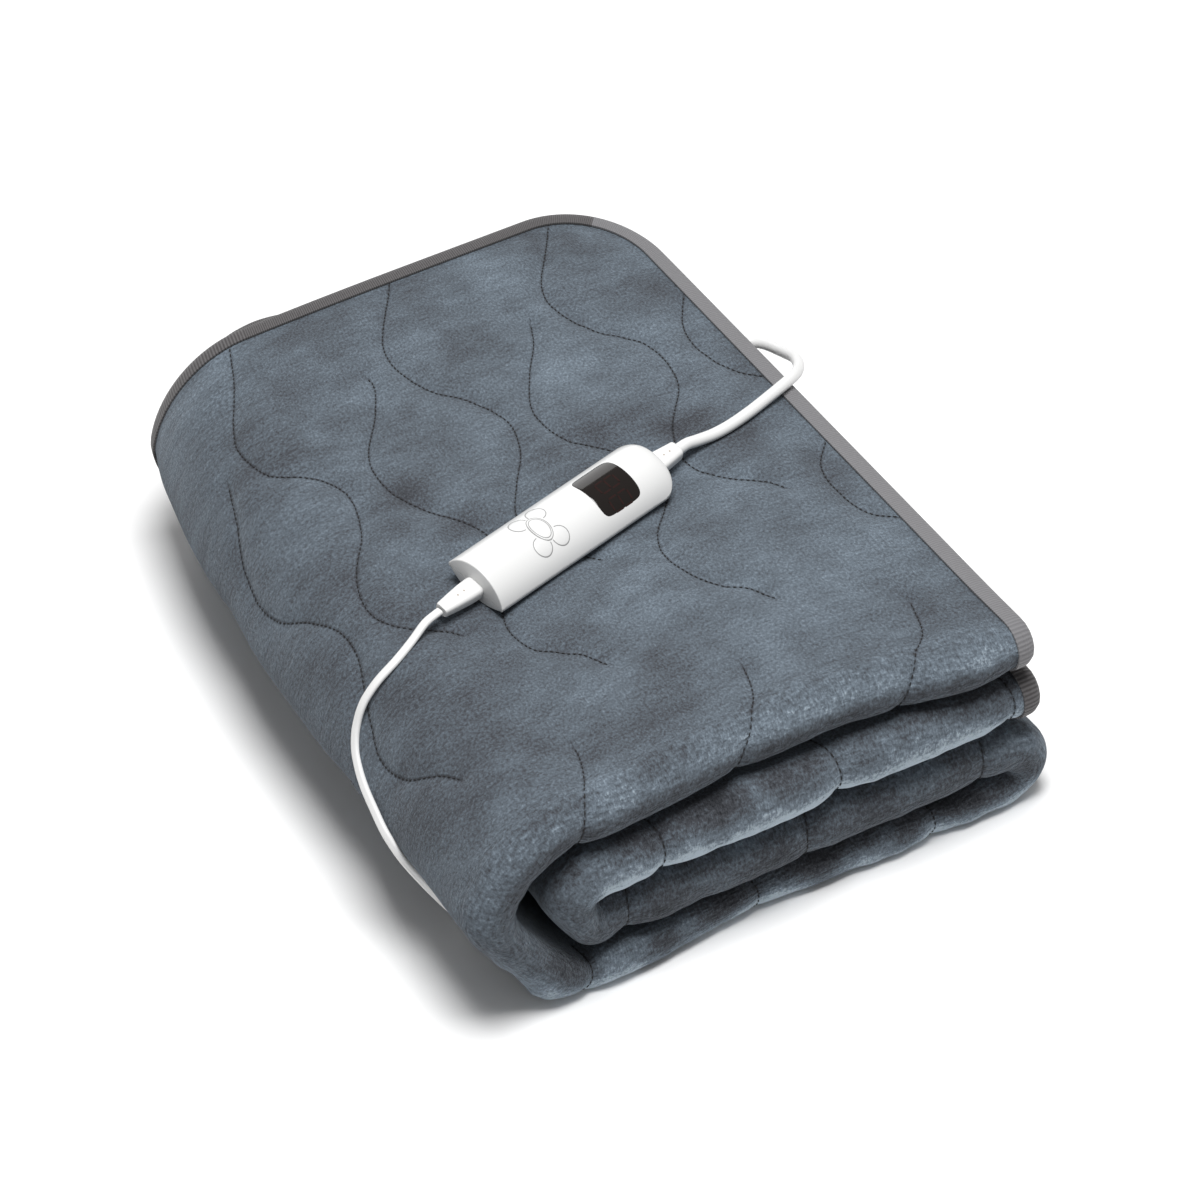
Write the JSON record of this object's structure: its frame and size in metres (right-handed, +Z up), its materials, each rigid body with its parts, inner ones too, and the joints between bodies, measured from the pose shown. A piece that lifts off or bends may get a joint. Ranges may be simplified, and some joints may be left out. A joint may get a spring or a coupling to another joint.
{
  "type": "electric heated blanket",
  "caption": "Quilted plush heated blanket folded into a thick stack with a taped edge, a hand control on top, a lead into the cloth and a coiled mains lead with a flat plug.",
  "frame": {"origin": "centre of the folded stack's footprint, on the surface that it lies on", "axes": "+Z up; +Y from the folded front to the bound back edge; +X from the folded left side to the bound end where the lead goes in"},
  "size_m": [0.4267, 0.5957, 0.1705],
  "materials": {
    "plush": "short plush pile, blue-grey",
    "tape": "ribbed woven tape, warm grey",
    "white_plastic": "smooth white, satin to gloss",
    "smoked_plastic": "smoked near-black gloss",
    "white_vinyl": "soft white vinyl, satin",
    "pin_metal": "plated, bright"
  },
  "bodies": {
    "root": {"blanket": "plush", "binding": "tape", "control_base": "white_plastic", "control_cover": "white_plastic", "control_window": "smoked_plastic", "control_keypad": "white_vinyl", "mains_relief": "white_vinyl", "blanket_relief": "white_vinyl", "lead_sleeve": "white_vinyl", "blanket_lead": "white_vinyl", "mains_lead": "white_vinyl", "mains_coil": "white_vinyl", "mains_tail": "white_vinyl", "plug_body": "white_vinyl", "plug_pin_1": "pin_metal", "plug_pin_2": "pin_metal"}
  },
  "joints": []
}
